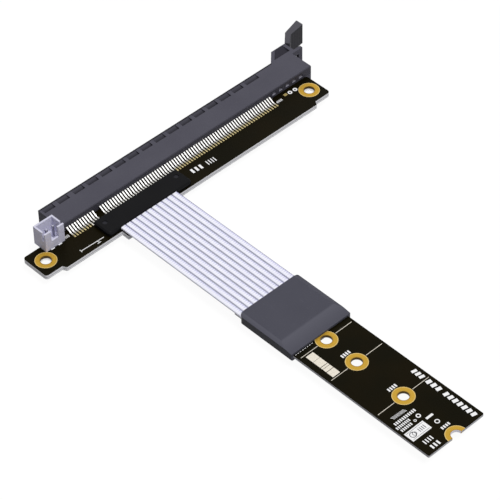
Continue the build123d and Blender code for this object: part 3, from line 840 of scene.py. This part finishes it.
def solder_mounds(places, foot_start, face, side):
    """Domes over the feet: the height times the sine of the rise, on an oval plan.

    The plan is a superellipse, and it shrinks with the cosine of nine tenths of the rise, which
    leaves a small flat top.
    """
    rise = np.linspace(0, np.pi / 2, MOUND_ROWS)[:, None]
    turn = np.linspace(0, 2 * np.pi, MOUND_COLUMNS, endpoint=False) + np.pi / MOUND_COLUMNS
    half_width = CONTACT_WIDTH / 2 + MOUND_OVERHANG
    half_length = FOOT_LENGTH / 2 + MOUND_OVERHANG
    shrink = np.cos(rise * MOUND_CLOSING)
    x = np.sign(np.cos(turn)) * np.abs(np.cos(turn)) ** (2 / MOUND_POWER) * half_width * shrink
    y = np.sign(np.sin(turn)) * np.abs(np.sin(turn)) ** (2 / MOUND_POWER) * half_length * shrink
    z = np.sin(rise) * (FOOT_THICKNESS + MOUND_RISE) + np.zeros_like(x)
    dome = np.stack([x, y + foot_start + FOOT_LENGTH / 2, face + side * z], -1).reshape(-1, 3)
    shift = np.stack([places, np.zeros_like(places), np.zeros_like(places)], -1)
    points = (dome[None] + shift[:, None]).reshape(-1, 3)
    faces = []
    for number in range(len(places)):
        faces += tube_faces(MOUND_ROWS, MOUND_COLUMNS, number * len(dome))
    return points, faces


places = contact_places()
board_low, board_high = box_mm("slot_board")
for row, face, side in (("upper", board_high[2], 1), ("lower", board_low[2], -1)):
    points, faces = solder_mounds(places, foot_start, face, side)
    make_piece("solder_joints_" + row, points, faces, solder, smooth=True)
print("contacts in a row:", len(places), "first at", round(places[0], 2), "last at", round(places[-1], 2))


# %% [markdown]
# ## Printed marks
# The boards carry a screen print in cream-white epoxy ink: lines at the screw holes, a divided field,
# a box and rows of small marks. Here every mark is a plain bar or ring with no meaning. The ink is a
# few hundredths of a millimetre thick, so each mark is a thin solid on the mask. A whole print is one
# mesh: all bars are turned and placed at once, as one array of corners.


# %% Bars and rings of ink
INK_THICKNESS = 0.03
RING_CORNERS = 20


def bars(rows):
    """Corners of bars: rows hold x, y, length, width and turn in degrees, on a top face at zero."""
    rows = np.array(rows, float)
    turn = np.radians(rows[:, 4])[:, None]
    along = np.array([-0.5, 0.5, 0.5, -0.5]) * rows[:, 2:3]
    across = np.array([-0.5, -0.5, 0.5, 0.5]) * rows[:, 3:4]
    x = rows[:, 0:1] + along * np.cos(turn) - across * np.sin(turn)
    y = rows[:, 1:2] + along * np.sin(turn) + across * np.cos(turn)
    layers = [np.stack([x, y, np.full_like(x, z)], -1) for z in (0.0, INK_THICKNESS)]
    points = np.stack(layers, 1).reshape(-1, 3)
    faces = []
    for number in range(len(rows)):
        faces += tube_faces(2, 4, number * 8)
    return points, faces


def ring_marks(rows):
    """Flat rings of ink: rows hold x, y, outer and inner radius. The section is a rectangle."""
    turn = np.linspace(0, 2 * np.pi, RING_CORNERS, endpoint=False)[:, None]
    points, faces = [], []
    for number, (x, y, outer, inner) in enumerate(rows):
        radius = np.array([inner, outer, outer, inner])
        level = np.array([0.0, 0.0, INK_THICKNESS, INK_THICKNESS])
        grid = np.stack([
            x + radius * np.cos(turn), y + radius * np.sin(turn), level + np.zeros_like(turn)
        ], -1)
        points.append(grid.reshape(-1, 3))
        ring = np.arange(RING_CORNERS)[:, None]
        column = np.arange(4)
        after, beside = (ring + 1) % RING_CORNERS, (column + 1) % 4
        quads = np.stack([
            ring * 4 + column, ring * 4 + beside, after * 4 + beside, after * 4 + column
        ], -1)
        faces += (quads.reshape(-1, 4) + number * RING_CORNERS * 4).tolist()
    return np.vstack(points), faces


print("points of a bar and of a ring:", len(bars([(0, 0, 1, 1, 0)])[0]), RING_CORNERS * 4)

# %% [markdown]
# The ink is matt, and a little uneven where the mesh of the screen left it thin. White ink stands on
# both boards, cream ink at the screw holes and in the field, and dark ink on the white box.


# %% Ink
INK_CLOUD = 0.35


def screen_ink(name, colour, shade):
    """Epoxy ink, screen printed: matt, with soft clouds of a thinner shade."""
    material, _, _, _ = start_material(name, colour, Roughness=0.6, Specular_IOR_Level=0.3)
    clouds(material, INK_CLOUD, 2, shade, 0.45, 0.8)
    return material


def print_marks(name, marks, ink, level=0.0):
    """Puts bars or rings, as points and faces, on the boards as one piece at a level."""
    points, faces = marks
    make_piece(name, points + np.array((0.0, 0.0, level)), faces, ink)


cream_ink = screen_ink("cream_epoxy_ink", "#EDE6D8", "#CFC6B4")
white_ink = screen_ink("white_epoxy_ink", "#F8F8F8", "#D8D8DC")
dark_ink = screen_ink("dark_epoxy_ink", "#2C2A34", "#3A3842")
print("the ink is", INK_THICKNESS, "mm thick")

# %% [markdown]
# On the drive board a fine line crosses the board at each screw hole, so that a fitter can tell the
# places for shorter drives. Each line starts at the ring and stops short of the board's edge.

# %% Marks at the screw holes
LINE_WIDTH = 0.16
LINE_MARGIN = 0.9
RING_GAP = 0.25
line_end = box_mm("drive_board")[1][0] - LINE_MARGIN
hole_lines = []
for ring in ("standoff_ring_30", "standoff_ring_42", "standoff_ring_60"):
    low, high = box_mm(ring)
    line_start = (high[0] - low[0]) / 2 + RING_GAP
    line_x, line_y = (line_start + line_end) / 2, (low[1] + high[1]) / 2
    for side in (-1, 1):
        hole_lines.append((side * line_x, line_y, line_end - line_start, LINE_WIDTH, 0))
print_marks("print_hole_lines", bars(hole_lines), cream_ink)
print("lines:", len(hole_lines), "each", round(line_end - line_start, 2), "mm")


# %% [markdown]
# Small groups of short bars stand beside the rings, and a longer double row runs along the board's
# right edge. A group is a row of like bars, so one function spaces them between two ends.


# %% Rows of small marks
def bar_row(start, end, count, height, fill=0.6, slant=0.0):
    """Bars between two points, each across the row, filling a share of its pitch, with a slant."""
    start, end = np.array(start, float), np.array(end, float)
    pitch = np.linalg.norm(end - start) / count
    heading = math.degrees(math.atan2(*(end - start)[::-1]))
    shares = (np.arange(count) + 0.5) / count
    centres = start + shares[:, None] * (end - start)
    return [(x, y, height, pitch * fill, heading + 90 + slant) for x, y in centres]


EDGE_ROW_X = 8.85
EDGE_ROW_HEIGHT = 1.75
EDGE_GROUPS = ((-54.9, -59.3, 3), (-60.3, -65.9, 3), (-66.9, -79.0, 7))
SMALL_ROWS = (
    ((-1.8, -55.7), (1.7, -55.7), 4, 1.2, 0.58),
    ((-1.9, -37.7), (1.6, -37.7), 4, 1.2, 0.58),
    ((-1.5, -75.6), (1.9, -75.6), 4, 1.0, 0.62),
    ((-8.5, -78.3), (-4.9, -78.3), 3, 1.5, 0.5),
    ((-8.7, -75.8), (-5.1, -75.8), 4, 1.5, 0.42),
    ((-9.6, -65.7), (-1.3, -65.7), 11, 1.0, 0.58),
    ((-10.3, -67.15), (-5.0, -67.15), 8, 0.95, 0.58),
    ((-9.9, -68.55), (-5.6, -68.55), 6, 0.95, 0.58),
    ((-8.4, -63.7), (-3.4, -63.9), 12, 1.3, 0.3, 30),
    ((-10.7, -28.15), (-3.4, -28.15), 8, 0.14, 0.55),
)
marks = [(-0.4, -70.2, 2.6, 0.75, 0)]
for group_start, group_end, count in EDGE_GROUPS:
    group = (EDGE_ROW_X, group_start), (EDGE_ROW_X, group_end)
    marks += bar_row(*group, count, EDGE_ROW_HEIGHT, 0.66, -14)
for row in SMALL_ROWS:
    marks += bar_row(*row)
print_marks("print_drive_marks", bars(marks), white_ink)
small_rings = [(-2.4, -67.9, 0.75, 0.4), (-4.3, -68.5, 0.45, 0.25), (-0.2, -72.9, 0.8, 0.5)]
print_marks("print_drive_rings", ring_marks(small_rings), white_ink)
print("marks on the drive board:", len(marks))

# %% [markdown]
# Two larger fields stand between them: a white box with dark lines in it, and a cream field that is
# divided into plates, as a place for a written note would be. A dark line is bare mask, so a field is
# built from the plates round its lines.

# %% Fields of ink
NOTE_X = -7.5
NOTE_WIDTH = 2.8
NOTE_PLATES = ((-32.1, 2.8), (-35.0, 2.8), (-36.95, 0.7), (-38.1, 1.3), (-40.2, 2.5))
note_plates = [(NOTE_X, y, length, NOTE_WIDTH, 90) for y, length in NOTE_PLATES]
print_marks("print_note_field", bars(note_plates), cream_ink)

box_x, box_y, box_length, box_width = -6.55, -71.7, 7.3, 3.6
box_lines = [(box_x, box_y + side * 1.35, box_length - 0.9, 0.1, 0) for side in (1, -1)]
box_lines += bar_row((box_x + 0.1, box_y), (box_x + 2.9, box_y), 4, 1.4, 0.3)
box_rings = [(box_x - 1.9, box_y, 1.05, 0.85), (box_x - 1.3, box_y, 0.7, 0.55)]
print_marks("print_box", bars([(box_x, box_y, box_length, box_width, 0)]), white_ink)
print_marks("print_box_lines", bars(box_lines), dark_ink, INK_THICKNESS)
print_marks("print_box_rings", ring_marks(box_rings), dark_ink, INK_THICKNESS)
print("plates in the note field:", len(note_plates))

# %% [markdown]
# The slot board has fewer marks: a line with an end tick that shows how wide a short card is, a few
# dashes at the header, and small groups at the right.

# %% Marks on the slot board
SLOT_ROWS = (
    ((60.95, 52.8), (63.35, 52.8), 6, 0.9, 0.5),
    ((-25.6, 53.2), (-23.9, 53.2), 4, 1.0, 0.4),
    ((20.2, 48.2), (24.9, 47.8), 3, 1.9, 0.5),
    ((26.2, 47.7), (29.9, 47.4), 4, 1.9, 0.35),
)
slot_marks = [
    (-21.45, 45.55, 8.7, 0.22, -1.5),
    (-25.8, 45.7, 0.22, 1.1, 0),
    (-19.6, 44.6, 1.3, 0.22, 0),
    (-19.6, 45.05, 0.22, 0.9, 25),
    (-30.95, 52.2, 1.3, 0.28, 0),
    (-28.15, 52.2, 1.3, 0.28, 0),
]
for row in SLOT_ROWS:
    slot_marks += bar_row(*row)
print_marks("print_slot_marks", bars(slot_marks), white_ink)
slot_rings = [(67.3, 53.4, 0.75, 0.32), (69.4, 53.3, 0.75, 0.32)]
print_marks("print_slot_rings", ring_marks(slot_rings), white_ink)
print("marks on the slot board:", len(slot_marks))
